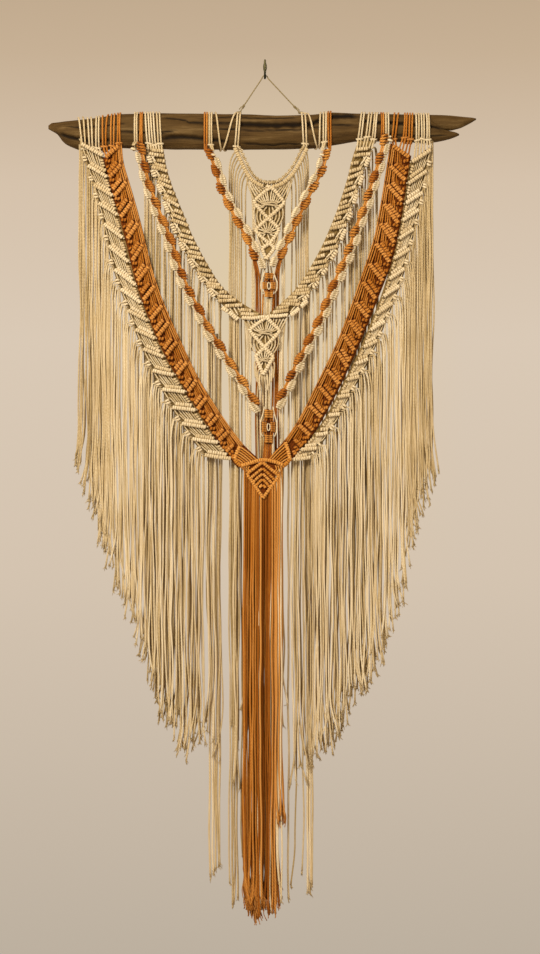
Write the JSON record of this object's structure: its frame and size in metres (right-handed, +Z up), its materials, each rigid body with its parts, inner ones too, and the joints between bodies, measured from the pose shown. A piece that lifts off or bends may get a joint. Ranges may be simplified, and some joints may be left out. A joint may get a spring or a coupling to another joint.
{
  "type": "macrame wall hanging on a driftwood branch with its wall hook",
  "caption": "Macrame wall hanging: V-shaped bands of half-hitch knots, twisted sinnets and a long pointed fringe on a driftwood branch, hung by a thin cord from a small wall hook.",
  "frame": {"origin": "centre of the back face of the hook's oval plate, on the wall", "axes": "+Z up, +Y into the wall, +X to the right for someone who faces the hanging"},
  "size_m": [0.748, 0.0671, 1.5091],
  "materials": {
    "cream_cotton": "matt twisted cotton cord",
    "rust_cotton": "matt twisted cotton cord",
    "driftwood": "weathered, unvarnished",
    "hook_metal": "aged"
  },
  "bodies": {
    "root": {"driftwood_branch": "driftwood", "wall_hook": "hook_metal", "hanging_cord": "cream_cotton", "outer_band_left": "cream_cotton", "outer_band_right": "cream_cotton", "rust_band": "rust_cotton", "chevron_band": "cream_cotton", "outer_sinnet": "rust_cotton", "inner_sinnet": "rust_cotton", "necklace": "cream_cotton"}
  },
  "joints": []
}
